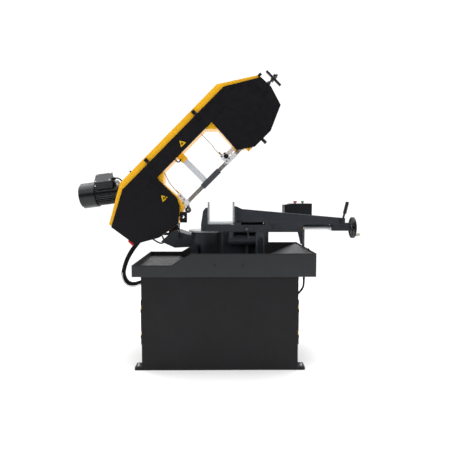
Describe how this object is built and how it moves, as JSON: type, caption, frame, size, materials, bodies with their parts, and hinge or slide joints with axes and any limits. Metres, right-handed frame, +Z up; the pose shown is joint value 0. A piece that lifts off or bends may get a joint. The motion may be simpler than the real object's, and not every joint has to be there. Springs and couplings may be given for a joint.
{
  "type": "metal-cutting band saw",
  "caption": "Horizontal metal-cutting band saw with pivoting covered bow, swivel arm, screw vise, chip tray, cabinet stand and small control box",
  "frame": {"origin": "on the floor, in the middle of the four anchor holes of the base rails", "axes": "+X along the vise travel to the operator's right, +Y away from the operator, +Z up"},
  "size_m": [1.9879, 0.682, 2.0155],
  "materials": {
    "anthracite_paint": "satin powder coat",
    "console_paint": "fine textured paint",
    "casting_paint": "hammered dark blue-grey paint",
    "yellow_paint": "gloss paint",
    "cover_paint": "satin black paint",
    "bright_steel": "ground",
    "wheel_iron": "turned rim",
    "bronze": "machined",
    "copper_line": "drawn",
    "handwheel_iron": "satin",
    "black_plastic": "moulded",
    "pale_plastic": "moulded",
    "red_plastic": "gloss",
    "green_plastic": "gloss",
    "black_rubber": "matt"
  },
  "bodies": {
    "base": {"cabinet": "anthracite_paint", "base_rails": "anthracite_paint", "levelling_bolts": "bright_steel", "chip_tray": "anthracite_paint", "coolant_tank": "casting_paint", "coolant_pump": "casting_paint", "king_post": "casting_paint", "turntable_disc": "bright_steel", "bed_support": "casting_paint", "vise_bed": "casting_paint", "bed_wear_plate": "bright_steel", "fixed_jaw": "casting_paint", "fixed_jaw_plate": "bright_steel", "vise_nut": "bronze", "control_post": "console_paint", "control_box": "console_paint", "door_hinges": "anthracite_paint", "cable_conduit": "black_rubber", "side_cable": "black_rubber"},
    "left_door": {"left_door": "anthracite_paint"},
    "right_door": {"right_door": "anthracite_paint"},
    "left_latch": {"left_latch": "black_plastic"},
    "right_latch": {"right_latch": "black_plastic"},
    "swivel": {"swivel_casting": "casting_paint", "pivot_shaft": "bright_steel", "stop_rod": "bright_steel"},
    "lock_lever": {"swivel_lock_lever": "black_plastic"},
    "bow": {"bow_frame": "yellow_paint", "stop_bracket": "cover_paint", "gearbox_housing": "casting_paint", "gearbox_lid": "casting_paint", "motor_housing": "casting_paint", "motor_fan_cover": "casting_paint", "terminal_box": "casting_paint", "saw_blade": "bright_steel", "drive_side_guide": "bright_steel", "idler_side_guide": "bright_steel", "coolant_lines": "copper_line", "approach_bracket": "yellow_paint", "cover_hinge_bases": "cover_paint"},
    "cover": {"blade_cover": "cover_paint", "cover_fittings": "cover_paint"},
    "drive": {"drive_wheel": "wheel_iron", "drive_shaft": "bright_steel", "worm_wheel": "bronze"},
    "rotor": {"worm_shaft": "bright_steel", "cooling_fan": "pale_plastic"},
    "carriage": {"tension_carriage": "bright_steel"},
    "idler": {"idler_wheel": "wheel_iron"},
    "star": {"tension_handle": "black_plastic"},
    "approach": {"approach_bar": "bright_steel"},
    "brush": {"chip_brush": "black_plastic"},
    "slide": {"vise_slide": "casting_paint", "moving_jaw_plate": "bright_steel"},
    "crank": {"vise_screw": "bright_steel", "handwheel": "handwheel_iron", "crank_grip": "pale_plastic"},
    "clamp": {"clamp_lever": "black_plastic"},
    "stop_button": {"emergency_button": "red_plastic"},
    "start_button": {"start_button": "green_plastic"}
  },
  "joints": [
    {"name": "left_door_hinge", "type": "hinge", "parent": "base", "child": "left_door", "pos_m": [-0.51, -0.307, 0.32], "axis": [0, 0, 1], "range_deg": [0, 110]},
    {"name": "right_door_hinge", "type": "hinge", "parent": "base", "child": "right_door", "pos_m": [0.51, -0.307, 0.32], "axis": [0, 0, -1], "range_deg": [0, 110]},
    {"name": "left_latch_turn", "type": "hinge", "parent": "left_door", "child": "left_latch", "pos_m": [-0.52, 0.17, 0.32], "axis": [1, 0, 0], "range_deg": [0, 90]},
    {"name": "right_latch_turn", "type": "hinge", "parent": "right_door", "child": "right_latch", "pos_m": [0.52, 0.17, 0.32], "axis": [1, 0, 0], "range_deg": [0, 90]},
    {"name": "arm_swivel", "type": "hinge", "parent": "base", "child": "swivel", "pos_m": [-0.0815, 0, 0.76], "axis": [0, 0, 1], "range_deg": [0, 45], "deforming": ["cable_conduit"]},
    {"name": "lock_lever_turn", "type": "hinge", "parent": "base", "child": "lock_lever", "pos_m": [0.19, -0.23, 0.855], "axis": [0, 1, 0], "range_deg": [-40, 40]},
    {"name": "bow_pivot", "type": "hinge", "parent": "swivel", "child": "bow", "pos_m": [-0.355, 0.08, 0.9435], "axis": [0, 1, 0], "range_deg": [0, 45]},
    {"name": "cover_hinge", "type": "hinge", "parent": "bow", "child": "cover", "pos_m": [-0.32742, -0.081, 1.52404], "axis": [-0.7071, 0, -0.7071], "range_deg": [0, 100]},
    {"name": "drive_wheel_spin", "type": "hinge", "parent": "bow", "child": "drive", "pos_m": [-0.54769, 0, 1.01527], "axis": [0, 1, 0], "continuous": true},
    {"name": "motor_spin", "type": "hinge", "parent": "bow", "child": "rotor", "pos_m": [-0.56944, 0.115, 1.18438], "axis": [0.9918, 0, 0.1276], "continuous": true},
    {"name": "blade_tension", "type": "slide", "parent": "bow", "child": "carriage", "axis": [0.7071, 0, 0.7071], "range_m": [-0.01, 0]},
    {"name": "idler_wheel_spin", "type": "hinge", "parent": "carriage", "child": "idler", "pos_m": [0.18099, 0, 1.74395], "axis": [0, 1, 0], "continuous": true},
    {"name": "tension_handle_turn", "type": "hinge", "parent": "bow", "child": "star", "pos_m": [0.36978, 0.034, 1.95113], "axis": [0.7071, 0, 0.7071], "range_deg": [-1800, 0]},
    {"name": "approach_slide", "type": "slide", "parent": "bow", "child": "approach", "axis": [-0.7071, 0, 0.7071], "range_m": [0, 0.035]},
    {"name": "brush_spin", "type": "hinge", "parent": "bow", "child": "brush", "pos_m": [-0.22843, 0, 1.02906], "axis": [0, 1, 0], "continuous": true},
    {"name": "vise_slide_travel", "type": "slide", "parent": "base", "child": "slide", "axis": [1, 0, 0], "range_m": [-0.155, 0.12]},
    {"name": "handwheel_turn", "type": "hinge", "parent": "slide", "child": "crank", "pos_m": [0.896, -0.145, 0.912], "axis": [1, 0, 0], "range_deg": [-2772, 2142]},
    {"name": "clamp_lever_turn", "type": "hinge", "parent": "slide", "child": "clamp", "pos_m": [0.818, -0.198, 0.958], "axis": [0, 1, 0], "range_deg": [-70, 0]},
    {"name": "emergency_press", "type": "slide", "parent": "base", "child": "stop_button", "axis": [0, 0, -1], "range_m": [0, 0.006], "stiffness_N_per_m": 800},
    {"name": "start_press", "type": "slide", "parent": "base", "child": "start_button", "axis": [0, 0, -1], "range_m": [0, 0.005], "stiffness_N_per_m": 600}
  ],
  "couplings": [
    {"joint": "idler_wheel_spin", "follows": "drive_wheel_spin", "ratio": 1},
    {"joint": "brush_spin", "follows": "drive_wheel_spin", "ratio": -5},
    {"joint": "motor_spin", "follows": "drive_wheel_spin", "ratio": 28},
    {"joint": "tension_handle_turn", "follows": "blade_tension", "rad_per_m": 3141.6},
    {"joint": "vise_slide_travel", "follows": "handwheel_turn", "m_per_rad": 0.0031831}
  ]
}
